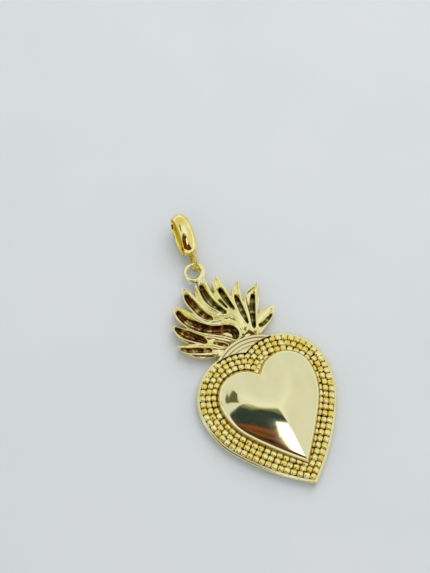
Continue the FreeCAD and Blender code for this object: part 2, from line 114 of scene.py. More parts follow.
HOLLOWS = [
    ([(-10.3, 4.2), (-9.0, 3.2), (-7.4, 2.5), (-5.4, 1.6)], 0.42, 1.0),
    ([(-9.3, 8.2), (-8.6, 7.0), (-7.6, 5.8), (-6.5, 4.6), (-5.6, 3.6)], 0.62, 1.2),
    ([(-4.2, 2.6), (-3.2, 1.8), (-2.3, 1.0)], 0.32, 0.9),
    ([(-7.7, 10.9), (-7.3, 9.2), (-6.4, 7.6), (-5.2, 6.4), (-3.8, 5.3), (-2.0, 4.6), (-0.4, 3.9),
      (0.2, 2.8), (-0.1, 1.7)], 0.72, 1.4),
    ([(-4.8, 13.2), (-4.8, 11.8), (-4.3, 10.0), (-3.7, 8.3), (-2.6, 7.0)], 0.55, 1.3),
    ([(-1.3, 13.8), (-1.5, 12.4), (-1.4, 10.8), (-1.0, 9.4), (-0.3, 8.0), (0.3, 6.9)], 0.5, 1.3),
    ([(0.5, 9.6), (0.8, 8.4), (1.1, 7.6)], 0.22, 0.9),
    ([(1.6, 11.6), (1.6, 9.6), (1.8, 8.0), (2.0, 6.8)], 0.4, 1.2),
    ([(3.6, 8.9), (3.4, 7.8), (3.4, 6.2), (3.2, 4.5), (3.1, 3.2)], 0.38, 1.2),
    ([(6.6, 7.6), (5.9, 6.2), (5.1, 4.7), (4.3, 3.0), (3.8, 1.8)], 0.48, 1.2),
    ([(7.8, 2.5), (6.3, 1.8), (5.0, 1.6)], 0.36, 1.0),
]
RIDGE_SPREAD = 1.35
HOLLOW_SPREAD = 0.88

# Beads over the puffed heart's notch: across and up from it, in millimetres, and their turn.
CORNER_BEADS = [(0.95, 0.85, math.pi / 5), (1.9, 1.3, math.pi / 7), (2.95, 1.75, math.pi / 9)]
# Beads: bevel and length as shares, and spread of place in millimetres, of size, of tilt and of turn.
BEAD_BEVEL = 0.27
BEAD_FILL = 0.97
BEAD_SHIFT = 0.02
BEAD_GROWTH = 0.02
BEAD_TILT = 0.08
BEAD_TURN = 0.06

# The boards that the polish mirrors: name, tone, strength, then a corner and two sides in degrees of
# azimuth and elevation, as seen from the pendant.
BOARDS = [
    ("white_board", (1, 1, 1, 1), 2.3, (231, 49), (19, 5), (-12, 21)),
    ("left_board", (0.13, 0.13, 0.06, 1), 1.0, (110, 47), (42, 5), (6, 9)),
    ("spot_board", (0.01, 0.01, 0.01, 1), 1.0, (149, 14), (12, 2), (2, 9)),
]
BOARD_DISTANCE = 0.5
DARK_BOARD = ((196, 20), (95, 0), (-45, 65))
DARK_BOARD_DISTANCE = 0.6
# Levels between which each band of the dark board ends, and how much the bands are tilted.
BROWN_END = (0.785, 0.795)
BLUE_END = (0.925, 0.945)
OLIVE_END = (0.955, 1.06)
BAND_TILT = 0.45

# The world's strength at the horizon and above it, what it gains overhead and by drift, and the lamp.
SKY_HORIZON = 1.1
SKY_SIDES = 0.76
SKY_TOP = 0.13
SKY_DRIFT = 0.14
LAMP_PLACE = (0.3, 0.26, 0.46)
LAMP_SIZE = 0.5
LAMP_WATTS = 2.0


def length(default_mm, name, description):
    return FloatProperty(name=name, description=description, default=default_mm * MM, unit="LENGTH",
                         precision=5)


def degrees(default_degrees, name, description):
    return FloatProperty(name=name, description=description, default=math.radians(default_degrees),
                         subtype="ANGLE")


def colour(default, name, description):
    return FloatVectorProperty(name=name, description=description, default=default, subtype="COLOR", size=4,
                               min=0, max=1)


class PendantHeartSizes(bpy.types.PropertyGroup):
    width: length(26.0, "Width", "Across the heart's widest line")
    notch: length(8.22, "Notch", "The notch between the lobes above the widest line")
    side_radius: length(15.0, "Side radius", "Radius of the side under the widest line")
    side_sweep: degrees(33.5, "Side sweep", "Turn of that side before the long run")
    lower_radius: length(42.0, "Lower radius", "Radius of the long run to the tip")
    plate: length(1.7, "Plate", "Thickness of the heart's plate")
    rim: length(0.62, "Rim", "Plain flange outside the beads")
    field_depth: length(0.06, "Bead field", "How far the beads' field is under the rim")
    row_pitch: length(1.05, "Row pitch", "From one row of beads to the next")
    rows: IntProperty(name="Rows", description="Rows of beads", default=3, min=1)
    bead: length(1.06, "Bead", "Across one bead")
    bead_rise: length(0.74, "Bead rise", "Height of a bead above the plate")
    bead_lap: length(0.02, "Bead lap", "How far the outer beads stand on the rim")
    bead_pitch: length(1.17, "Bead pitch", "From one bead to the next along a row")
    dome_rise: length(3.7, "Puff", "Height of the puffed heart above the plate")
    dome_notch: length(3.2, "Puff notch", "The puffed heart's notch above the widest line")
    dome_inset: length(3.35, "Puff inset", "From the plate's edge to the puffed heart")
    dome_shift: length(0.3, "Puff shift", "How far the puff is right of the middle")
    dome_foot: length(0.95, "Puff foot", "Width of the puffed heart's steep foot")
    dome_wall: length(1.5, "Puff wall", "Height of that foot")
    dome_middle: length(-3.2, "Puff middle", "Where its mesh's rings close in")
    dome_run: length(12.0, "Puff run", "The puff would be level this far in")
    keel_low: length(9.5, "Keel low", "The keel is crisp this far under the widest line")
    keel_run: length(8.0, "Keel run", "Length over which the keel gets rounder above that")
    keel_round: length(0.1, "Keel round", "Rounding of the keel where it is crisp")
    valley_round: length(1.5, "Valley round", "Rounding added in the valley between the lobes")
    tip_low: length(9.0, "Tip low", "The tip is drawn out this far under it")
    tip_run: length(5.2, "Tip run", "Length of the tip that is drawn out")
    tip_draw: length(0.6, "Tip draw", "How far the tip's end is drawn out")


class PendantCrownSizes(bpy.types.PropertyGroup):
    foot: length(9.5, "Foot", "Where the flames start above the widest line")
    level: length(2.0, "Level", "Height of the flames between their ridges and hollows")
    web: length(1.2, "Web", "Thickness of the web between the flames' feet")
    web_radius: length(4.6, "Web radius", "Radius of that web")
    web_rise: length(2.9, "Web rise", "Middle of that web above the flames' foot")
    voxel: length(0.1, "Grain", "Size of the grains that the crown is joined with")
    collar_radius: length(8.8, "Collar radius", "Radius of the collar's top edge")
    collar_top: length(10.4, "Collar top", "The collar's top edge above the widest line")
    collar_height: length(2.7, "Collar height", "Thickness of the collar")
    ring_across: length(-1.15, "Ring across", "The hanging ring's centre to the right of the middle")
    ring_up: length(26.48, "Ring up", "The hanging ring's centre above the widest line")
    ring_level: length(1.45, "Ring level", "Height of the ring's wire above the back")
    ring_radius: length(1.68, "Ring radius", "The hanging ring, to the middle of its wire")
    ring_wire: length(0.9, "Ring wire", "Thickness of the hanging ring's wire")


class PendantBailSizes(bpy.types.PropertyGroup):
    length: length(8.8, "Length", "Length of the bail's band")
    height: length(5.2, "Height", "Height of the bail's band")
    width: length(2.8, "Width", "Width of the band along its hole")
    wall: length(0.85, "Wall", "Thickness of the band at its middle")
    edge: length(0.22, "Edge", "Thickness of the band at its edges")
    loop_radius: length(1.355, "Loop radius", "The small loop, to the middle of its wire")
    loop_wire: length(0.62, "Loop wire", "Thickness of the loop's wire")
    loop_pull: length(0.12, "Loop pull", "How far the loop is drawn off the middle of the ring's wire")
    loop_lift: length(0.18, "Loop lift", "How far the loop is raised off the middle of the ring's wire")
    loop_sink: length(0.2, "Loop sink", "How far the loop is set into the band")
    turn: degrees(-4, "Turn", "The bail about the vertical")
    lean: degrees(14, "Lean", "The bail to its left")
    rise: degrees(12.5, "Rise", "The bail up towards its far end")


class PendantColours(bpy.types.PropertyGroup):
    polish: colour((0.86, 0.82, 0.49, 1), "Polish", "Gilt of the puffed heart, the rim and the collar")
    gilt: colour((0.95, 0.89, 0.45, 1), "Gilt", "Gilt of the beads and of the bail")
    deep: colour((0.80, 0.62, 0.10, 1), "Deep gilt", "Gilt of the loop and of patches on beads and band")
    flame: colour((0.97, 0.92, 0.52, 1), "Flame", "Gilt of the flames' ridges")
    # Painted shade between the beads.
    gap: colour((0.13, 0.10, 0.03, 1), "Gap", "Dull gilt between the beads")
    # Painted shade and reflections in the flames' hollows, and painted shade in the collar's lines.
    shade: colour((0.22, 0.085, 0.03, 1), "Shade", "Dark gilt left in the hollows")
    # Painted reflection in the flames' hollows.
    olive: colour((0.20, 0.20, 0.08, 1), "Olive", "Dull green gilt in the hollows")
    # Painted shade and reflections, almost black, in the flames' hollows.
    painted_black_shade: colour((0.03, 0.012, 0.005, 1), "Painted black shade", "Almost black gilt in the hollows")
    # Painted dark reflection at the puffed heart's foot.
    foot: colour((0.36, 0.24, 0.06, 1), "Foot", "Dull gilt at the puffed heart's foot")
    floor: colour((0.56, 0.58, 0.585, 1), "Floor", "Floor of the studio")


def verts_in(geometry):
    """The vertices among the parts of a mesh."""
    return [item for item in geometry if isinstance(item, bmesh.types.BMVert)]


def heart_line(bm, sizes, inset, level, steps=48, notch=None):
    """The heart's outline, set in from its edge: one vertex spun along its right half's arcs, then mirrored.

    The lobes are set in with the edge, unless a notch of their own is given.
    """
    half = sizes.width / 2
    if notch is None:
        lobe_radius = (sizes.notch ** 2 + half ** 2) / (2 * half) - inset
    else:
        lobe_radius = (notch ** 2 + (half - inset) ** 2) / (2 * (half - inset))
    lobe = Vector((half - inset - lobe_radius, 0, level))
    side = Vector((half - sizes.side_radius, 0, level))
    outward = Vector((math.cos(sizes.side_sweep), -math.sin(sizes.side_sweep), 0))
    lower = side - outward * (sizes.lower_radius - sizes.side_radius)
    reach = sizes.lower_radius - inset
    tip_angle = math.acos(-lower.x / reach)
    notch_angle = math.acos(-lobe.x / lobe_radius)
    last = bm.verts.new((0, lower.y - reach * math.sin(tip_angle), level))
    half_line = [last]
    arcs = ((lower, tip_angle - sizes.side_sweep, steps), (side, sizes.side_sweep, steps // 2),
            (lobe, notch_angle, steps))
    for centre, angle, count in arcs:
        for _ in range(count):
            spun = bmesh.ops.spin(bm, geom=[last], cent=centre, axis=(0, 0, 1), angle=angle / count, steps=1)
            half_line += spun["geom_last"] + last.link_edges[:]
            last = verts_in(spun["geom_last"])[0]
    last.co.x = 0
    half_line = list(dict.fromkeys(half_line))
    copied = bmesh.ops.mirror(bm, geom=half_line, matrix=Matrix.Identity(4), merge_dist=0, axis="X")["geom"]
    verts = verts_in(half_line + copied)
    on_middle = [vert for vert in verts if abs(vert.co.x) < MM * 0.001]
    bmesh.ops.remove_doubles(bm, verts=on_middle, dist=MM * 0.002)
    return list({edge for vert in verts if vert.is_valid for edge in vert.link_edges})


def sorted_run(bm):
    """The right half of a closed heart line, in order from its tip to its notch."""
    tip = min(bm.verts, key=lambda vert: vert.co.y)
    edge = max(tip.link_edges, key=lambda item: item.other_vert(tip).co.x)
    run = [tip.co.copy()]
    vert = tip
    while True:
        vert = edge.other_vert(vert)
        run.append(vert.co.copy())
        if abs(vert.co.x) < MM * 0.001:
            return run
        edge = [item for item in vert.link_edges if item is not edge][0]


def spaced(points, pitch):
    """Points at an even pitch along a run, with the way the run goes at each."""
    lengths = [0.0]
    for before, after in zip(points, points[1:]):
        lengths.append(lengths[-1] + (after - before).length)
    count = round(lengths[-1] / pitch)
    places = []
    index = 0
    for number in range(count + 1):
        wanted = lengths[-1] * number / count
        while index < len(points) - 2 and lengths[index + 1] < wanted:
            index += 1
        share = (wanted - lengths[index]) / (lengths[index + 1] - lengths[index])
        along = points[index + 1] - points[index]
        places.append((points[index] + along * share, along.normalized()))
    return places


def object_of(context, bm, name):
    """An object with a bmesh's shape; the bmesh itself goes."""
    mesh = bpy.data.meshes.new(name)
    bm.to_mesh(mesh)
    bm.free()
    made = bpy.data.objects.new(name, mesh)
    context.scene.collection.objects.link(made)
    return made


def with_modifiers(context, stock):
    """The mesh that a stock object's modifiers make; the stock object itself goes."""
    context.view_layer.update()
    mesh = bpy.data.meshes.new_from_object(stock.evaluated_get(context.evaluated_depsgraph_get()))
    bpy.data.objects.remove(stock)
    return mesh


def finished(bm, name, body, node, material, smooth_angle=40):
    """A piece of the object made from a bmesh, smooth but for its sharp edges, that stands for a CAD node."""
    bmesh.ops.recalc_face_normals(bm, faces=bm.faces)
    mesh = bpy.data.meshes.new(name)
    bm.to_mesh(mesh)
    bm.free()
    return placed(mesh, name, body, node, material, smooth_angle)


def placed(mesh, name, body, node, material, smooth_angle=40):
    """A piece of the object made from a mesh, on its body and in its slot."""
    mesh.shade_smooth()
    if smooth_angle < 180:
        mesh.set_sharp_from_angle(angle=math.radians(smooth_angle))
    piece = bpy.data.objects.new(name, mesh)
    bpy.context.scene.collection.objects.link(piece)
    mesh.materials.append(material)
    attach(piece, body)
    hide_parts(node)
    return piece


def add_node(tree, kind, values=None, links=None, **settings):
    """A shader node with its settings, its socket values and what feeds its sockets."""
    node = tree.nodes.new(kind)
    for key, value in settings.items():
        setattr(node, key, value)
    for socket, value in (values or {}).items():
        node.inputs[socket].default_value = value
    for socket, source in (links or {}).items():
        tree.links.new(source, node.inputs[socket])
    return node


def noise(tree, place, scale, detail=3.0, roughness=0.55):
    values = {"Scale": scale, "Detail": detail, "Roughness": roughness}
    return add_node(tree, "ShaderNodeTexNoise", values, {"Vector": place}).outputs["Fac"]


def ranged(tree, value, low, high, to_low=0.0, to_high=1.0, smooth=False):
    values = {"From Min": low, "From Max": high, "To Min": to_low, "To Max": to_high}
    kind = "SMOOTHSTEP" if smooth else "LINEAR"
    node = add_node(tree, "ShaderNodeMapRange", values, {"Value": value}, interpolation_type=kind)
    return node.outputs["Result"]


def maths(tree, operation, first, second):
    node = add_node(tree, "ShaderNodeMath", operation=operation)
    for index, value in enumerate((first, second)):
        if isinstance(value, (int, float)):
            node.inputs[index].default_value = value
        else:
            tree.links.new(value, node.inputs[index])
    return node.outputs["Value"]


def mixed(tree, share, first, second):
    node = add_node(tree, "ShaderNodeMix", data_type="RGBA")
    tree.links.new(share, node.inputs["Factor"])
    for socket, value in ((node.inputs[6], first), (node.inputs[7], second)):
        if isinstance(value, bpy.types.NodeSocket):
            tree.links.new(value, socket)
        else:
            socket.default_value = value
    return node.outputs[2]


def empty_material(name):
    """A material that has no nodes yet, and its node tree."""
    material = bpy.data.materials.new(name)
    material.use_nodes = True
    material.node_tree.nodes.clear()
    return material, material.node_tree


def surface(tree, kind, values, links=None):
    """A material's shader, with its socket values and what feeds its sockets."""
    shader = add_node(tree, kind, values, links)
    add_node(tree, "ShaderNodeOutputMaterial", links={"Surface": shader.outputs[0]})


def gilt_material(name, tone, roughness, grain, grain_depth, shade=None, shade_share=None, wear=0.12,
                  deep=None, drift_scale=160):
    """Polished gilt: a metal with soft drifts in its tone, a fine grain, and painted shade and reflections by
    shade_share.
    """
    material, tree = empty_material(name)
    place = add_node(tree, "ShaderNodeTexCoord").outputs["Object"]
    drift = ranged(tree, noise(tree, place, drift_scale, 2), 0.35, 0.65)
    tone = tuple(tone)
    if deep is None:
        deep = (tone[0] * (1 - wear), tone[1] * (1 - wear * 1.3), tone[2] * (1 - wear * 2.2), 1)
    base = mixed(tree, drift, tone, tuple(deep))
    if shade_share is not None:
        dark = shade(tree, place) if callable(shade) else tuple(shade)
        base = mixed(tree, shade_share(tree, place), base, dark)
    rough = ranged(tree, noise(tree, place, 420, 3), 0.25, 0.75, roughness * 0.75, roughness * 1.3)
    height = noise(tree, place, grain, 2)
    bump = add_node(tree, "ShaderNodeBump", {"Strength": 1.0, "Distance": grain_depth}, {"Height": height})
    surface(tree, "ShaderNodeBsdfPrincipled", {"Metallic": 1.0},
            {"Base Color": base, "Roughness": rough, "Normal": bump.outputs["Normal"]})
    return material


def painted_hollow_share(tree, place):
    """How much painted shade and reflection darken the flames: where a hollow is cut, broken up by mottling.
    """
    hollow = add_node(tree, "ShaderNodeAttribute", attribute_name="hollow").outputs["Fac"]
    mottle = ranged(tree, noise(tree, place, 1000, 4, 0.65), 0.38, 0.5, 0.25, 1.0)
    return maths(tree, "MULTIPLY", ranged(tree, hollow, 0.3, 0.8, smooth=True), mottle)


def painted_hollow_shade(tree, place, colours):
    """Painted shade and reflections of the hollows: brown on the left and olive on the right, almost black in
    patches.
    """
    across = add_node(tree, "ShaderNodeSeparateXYZ", links={"Vector": place}).outputs["X"]
    leaning = maths(tree, "ADD", noise(tree, place, 330, 3), maths(tree, "MULTIPLY", across, 22.0))
    patch = mixed(tree, ranged(tree, leaning, 0.44, 0.54), tuple(colours.shade), tuple(colours.olive))
    return mixed(tree, ranged(tree, noise(tree, place, 780, 4), 0.5, 0.6), patch, tuple(colours.painted_black_shade))


def low_share(low, high, most=1.0):
    """How strongly painted shade and reflections darken the low places between raised forms, by height above
    the back.
    """
    def share(tree, place):
        height = add_node(tree, "ShaderNodeSeparateXYZ", links={"Vector": place}).outputs["Z"]
        return ranged(tree, height, low, high, most, 0.0, smooth=True)
    return share


def distance_to_line(points, line, reach=None):
    """For each point (x, y) the least distance to a polyline, or its share of the line's reach there."""
    best = np.full(len(points), 1e9)
    count = len(line) - 1
    for index, (start, end) in enumerate(zip(line, line[1:])):
        along = np.array(end) - np.array(start)
        gap = points - np.array(start)
        share = np.clip(gap @ along / (along @ along), 0, 1)
        gap -= share[:, None] * along
        distance = np.hypot(gap[:, 0], gap[:, 1])
        if reach is not None:
            run = (index + share) / count
            distance /= reach * (0.3 + 0.7 * np.sin(np.pi * run) ** 0.6)
        best = np.minimum(best, distance)
    return best


def rounded_line(line, rounds=3):
    """A drawn line with its corners cut, so that it curves."""
    points = [np.array(point, dtype=float) for point in line]
    for _ in range(rounds):
        cut = [points[0]]
        for before, after in zip(points, points[1:]):
            cut += [before * 0.75 + after * 0.25, before * 0.25 + after * 0.75]
        points = cut + [points[-1]]
    return points


class PENDANT_OT_heart_plate(bpy.types.Operator):
    """Build the heart's plate with its rounded rim and the sunk field of the beads"""
    bl_idname = "pendant.heart_plate"
    bl_label = "Heart plate"

    def execute(self, context):
        sizes = context.scene.pendant_heart
        colours = context.scene.pendant_colours
        bm = bmesh.new()
        top = sizes.plate
        rim = sizes.rim
        # The rim's section from the back up: how far in, and the level.
        profile = [(0.12 * MM, 0.0), (0.0, 0.12 * MM), (0.0, top - 0.34 * MM), (0.05 * MM, top - 0.16 * MM),
                   (0.17 * MM, top - 0.04 * MM), (0.34 * MM, top), (rim - 0.06 * MM, top),
                   (rim, top - 0.06 * MM), (rim, top - sizes.field_depth)]
        loops = [heart_line(bm, sizes, inset, level) for inset, level in profile]
        for lower, upper in zip(loops, loops[1:]):
            bmesh.ops.bridge_loops(bm, edges=lower + upper)
        bmesh.ops.contextual_create(bm, geom=loops[0])
        bmesh.ops.contextual_create(bm, geom=loops[-1])
        material = gilt_material("gilt_rim", colours.polish, 0.16, 700, 0.006 * MM)
        finished(bm, "heart_plate", PENDANT, CASTING_NODE, material)
        return {"FINISHED"}


class PENDANT_OT_puffed_heart(bpy.types.Operator):
    """Build the puffed and polished heart that stands inside the beads"""
    bl_idname = "pendant.puffed_heart"
    bl_label = "Puffed heart"

    def execute(self, context):
        sizes = context.scene.pendant_heart
        colours = context.scene.pendant_colours
        bm = bmesh.new()
        edges = heart_line(bm, sizes, sizes.dome_inset, 0.0, 72, sizes.dome_notch)
        right = sorted_run(bm)
        middle = Vector((0, sizes.dome_middle, 0))
        rings = 60
        for ring in range(1, rings):
            grown = bmesh.ops.extrude_edge_only(bm, edges=edges)["geom"]
            edges = [item for item in grown if isinstance(item, bmesh.types.BMEdge)]
            closer = self.spread(1 - ring / rings) / self.spread(1 - (ring - 1) / rings)
            for vert in verts_in(grown):
                vert.co = middle + (vert.co - middle) * closer
        bmesh.ops.contextual_create(bm, geom=edges)
        line = [(point.x, point.y) for point in right]
        line += [(-point.x, point.y) for point in reversed(right[:-1])]
        places = np.array([(vert.co.x, vert.co.y) for vert in bm.verts])
        inward = self.softened(sizes, places, line)
        foot = np.clip(inward / sizes.dome_foot, 0, 1)
        wall = sizes.dome_wall * np.sqrt(1 - (1 - foot) ** 2)
        puff = inward * (1 - inward / (2 * sizes.dome_run))
        base = sizes.plate - sizes.field_depth
        top = sizes.plate + sizes.dome_rise - base
        height = wall + puff * (top - sizes.dome_wall) / puff.max()
        for vert, up in zip(bm.verts, height):
            vert.co.z = base + up
        inner = [vert for vert in bm.verts if not vert.is_boundary]
        for _ in range(3):
            bmesh.ops.smooth_vert(bm, verts=inner, factor=0.5, use_axis_z=True)
        for vert in bm.verts:
            vert.co.y -= sizes.tip_draw * (max(-vert.co.y - sizes.tip_low, 0) / sizes.tip_run) ** 2
        bmesh.ops.translate(bm, verts=bm.verts, vec=(sizes.dome_shift, 0, 0))
        # Painted dark reflection on the steep foot, strongest low down.
        painted_foot_share = low_share(base + 1.0 * MM, base + sizes.dome_wall + 0.1 * MM, 0.85)
        material = gilt_material("gilt_polish", colours.polish, 0.07, 260, 0.003 * MM, colours.foot,
                                 painted_foot_share, wear=0.04)
        finished(bm, "puffed_heart", PENDANT, CASTING_NODE, material, 180)
        return {"FINISHED"}

    def softened(self, sizes, places, line):
        """The distance in from the edge, averaged round each place: widely above, hardly at the keel."""
        inward = distance_to_line(places, line)
        above_keel = np.clip((places[:, 1] + sizes.keel_low) / sizes.keel_run, 0, 1)
        reach = np.minimum(inward * 0.8, sizes.keel_round + sizes.valley_round * above_keel ** 1.6)
        total = inward.copy()
        samples = 12
        for step in range(samples):
            angle = step * math.tau / samples
            share = 1.0 if step % 2 else 0.55
            moved = places + reach[:, None] * share * np.array([math.cos(angle), math.sin(angle)])
            total += distance_to_line(moved, line)
        return total / (samples + 1)

    def spread(self, share):
        """How far out a ring of the mesh lies: the rings are closer near the edge."""
        return 1 - (1 - share) ** 1.3


class PENDANT_OT_bead_rows(bpy.types.Operator):
    """Build the rows of beads round the puffed heart"""
    bl_idname = "pendant.bead_rows"
    bl_label = "Bead rows"

    def execute(self, context):
        sizes = context.scene.pendant_heart
        colours = context.scene.pendant_colours
        bead = bmesh.new()
        bmesh.ops.create_cube(bead, size=1.0)
        bmesh.ops.bevel(bead, geom=bead.edges[:], offset=BEAD_BEVEL, offset_type="OFFSET", segments=2,
                        profile=0.5, affect="EDGES", material=-1)
        low = [face for face in bead.faces if face.calc_center_median().z < -0.2]
        bmesh.ops.delete(bead, geom=low, context="FACES")
        stock = bpy.data.meshes.new("bead_stock")
        bead.to_mesh(stock)
        bead.free()
        field = sizes.plate - sizes.field_depth
        top = sizes.plate + sizes.bead_rise
        tall = (top - field) * 1.3
        rng = np.random.default_rng(7)
        bm = bmesh.new()
        places = []
        for row in range(sizes.rows):
            inset = sizes.rim + sizes.bead / 2 - sizes.bead_lap + row * sizes.row_pitch
            guide = bmesh.new()
            heart_line(guide, sizes, inset, 0.0, 64)
            run = spaced(sorted_run(guide), sizes.bead_pitch)
            guide.free()
            for index, (point, along) in enumerate(run):
                for side in (1, -1):
                    if side > 0 or index not in (0, len(run) - 1):
                        turn = math.atan2(along.y, side * along.x)
                        places.append((side * point.x, point.y, turn))
        # More beads fill the corner over the puffed heart's notch.
        places.append((sizes.dome_shift / 2, sizes.dome_notch + sizes.bead / 3, math.pi / 4))
        for across, up, turn in CORNER_BEADS:
            places.append((across * MM, sizes.dome_notch + up * MM, turn))
        for across, up, turn in places:
            # Each bead is a little off its place, its size and its turn.
            wobble = np.clip(rng.normal(0, 1, 6), -1.8, 1.8)
            place = Vector((across, up, top - tall / 2))
            place += Vector((wobble[0], wobble[1], 0)) * BEAD_SHIFT * MM
            size = Vector((sizes.bead_pitch * BEAD_FILL, sizes.bead, tall)) * (1 + wobble[2] * BEAD_GROWTH)
            turned = Euler((wobble[4] * BEAD_TILT, wobble[5] * BEAD_TILT, turn + wobble[3] * BEAD_TURN))
            matrix = Matrix.LocRotScale(place, turned, size)
            before = len(bm.verts)
            bm.from_mesh(stock)
            bm.verts.ensure_lookup_table()
            bmesh.ops.transform(bm, matrix=matrix, verts=bm.verts[before:])
        bpy.data.meshes.remove(stock)
        drop = top - max(vert.co.z for vert in bm.verts)
        bmesh.ops.translate(bm, verts=bm.verts, vec=(0, 0, drop))
        # A sheet just over the field, and the beads' low sides, carry painted shade between the beads.
        bmesh.ops.contextual_create(bm, geom=heart_line(bm, sizes, sizes.rim, field + 0.02 * MM))
        share = low_share(field + 0.04 * MM, field + 0.42 * MM, 0.85)
        material = gilt_material("gilt_beads", colours.gilt, 0.13, 1600, 0.014 * MM, colours.gap, share,
                                 deep=colours.deep, drift_scale=800)
        finished(bm, "bead_rows", PENDANT, CASTING_NODE, material, 180)
        return {"FINISHED"}


class PENDANT_OT_collar(bpy.types.Operator):
    """Build the lined collar between the lobes and the flames"""
    bl_idname = "pendant.collar"
    bl_label = "Collar"

    def execute(self, context):
        heart = context.scene.pendant_heart
        sizes = context.scene.pendant_crown
        colours = context.scene.pendant_colours
        centre = Vector((0, sizes.collar_top - sizes.collar_radius, 0))
        top = sizes.collar_height
        # The top from the edge inwards, in and up in millimetres: three mouldings, each with a line after it.
        steps = [(0.12, 0.0), (0.35, 0.02), (0.46, -0.02), (0.5, -0.28), (0.66, -0.28), (0.7, -0.02),
                 (0.8, 0.02), (1.1, 0.02), (1.18, -0.02), (1.22, -0.22), (1.36, -0.22), (1.4, -0.04),
                 (1.5, 0.0), (1.8, 0.0), (1.88, -0.04), (1.92, -0.2), (2.04, -0.2), (2.08, -0.04),
                 (2.2, -0.02)]
        section = [(0.0, 0.1 * MM), (0.0, top - 0.14 * MM)]
        section += [(inward, top + drop * MM) for inward, drop in steps]
        section += [(6.0, top - 0.05 * MM), (6.0, 0.1 * MM)]
        bm = bmesh.new()
        verts = []
        for inward, up in section:
            verts.append(bm.verts.new(centre + Vector((sizes.collar_radius - inward * MM, 0, up))))
        edges = [bm.edges.new(pair) for pair in zip(verts, verts[1:] + verts[:1])]
        bmesh.ops.spin(bm, geom=verts + edges, cent=centre, axis=(0, 0, 1), angle=math.tau, steps=180,
                       use_merge=True)
        bmesh.ops.recalc_face_normals(bm, faces=bm.faces)
        field = bmesh.new()
        edges = heart_line(field, heart, heart.rim, heart.plate - 0.1 * MM)
        bmesh.ops.contextual_create(field, geom=edges)
        raised = verts_in(bmesh.ops.extrude_face_region(field, geom=field.faces[:])["geom"])
        bmesh.ops.translate(field, verts=raised, vec=(0, 0, sizes.collar_height))
        bmesh.ops.recalc_face_normals(field, faces=field.faces)
        panel = object_of(context, bm, "collar_stock")
        space = object_of(context, field, "field_stock")
        cut = panel.modifiers.new("field", "BOOLEAN")
        cut.operation = "DIFFERENCE"
        cut.solver = "EXACT"
        cut.object = space
        mesh = with_modifiers(context, panel)
        bpy.data.objects.remove(space)
        # Painted shade in the collar's cut lines and low on its sides, by height.
        material = gilt_material("gilt_collar", colours.polish, 0.15, 1100, 0.03 * MM, colours.shade,
                                 low_share(top - 0.3 * MM, top - 0.08 * MM, 0.75))
        placed(mesh, "collar", PENDANT, CASTING_NODE, material, 30)
        return {"FINISHED"}


def ribbon(bm, stations, foot, level):
    """A flame's body: a closed section moved on from station to station, along a smooth line."""
    drawn = [station * MM for station in rounded_line(stations, 2)]
    for index, station in enumerate(drawn):
        before = drawn[max(index - 1, 0)]
        after = drawn[min(index + 1, len(drawn) - 1)]
        ahead = Vector((after[0] - before[0], after[1] - before[1], 0)).normalized()
        sideways = Vector((-ahead.y, ahead.x, 0))
        middle = Vector((station[0], foot + station[1], 0))
        half = max(station[2], 0.08 * MM)
        right = middle + sideways * half
        left = middle - sideways * half
        upward = Vector((0, 0, level))
        corners = [left, right, right + upward, left + upward]
        if index == 0:
            face = bm.faces.new([bm.verts.new(corner) for corner in corners])
        else:
            face = bmesh.ops.extrude_discrete_faces(bm, faces=[face])["faces"][0]
            for vert, corner in zip(face.verts, corners):
                vert.co = corner


def wire_ring(bm, centre, radius, wire, axis, first, steps=72, around=20):
    """A closed ring of round wire: a circle spun about its axis."""
    verts = bmesh.ops.create_circle(bm, segments=around, radius=wire / 2)["verts"]
    across = axis.cross(first)
    turn = Matrix((first, axis, across)).transposed().to_4x4()
    bmesh.ops.transform(bm, matrix=Matrix.Translation(centre + first * radius) @ turn, verts=verts)
    edges = list({edge for vert in verts for edge in vert.link_edges})
    bmesh.ops.spin(bm, geom=verts + edges, cent=centre, axis=axis, angle=math.tau, steps=steps,
                   use_merge=True)


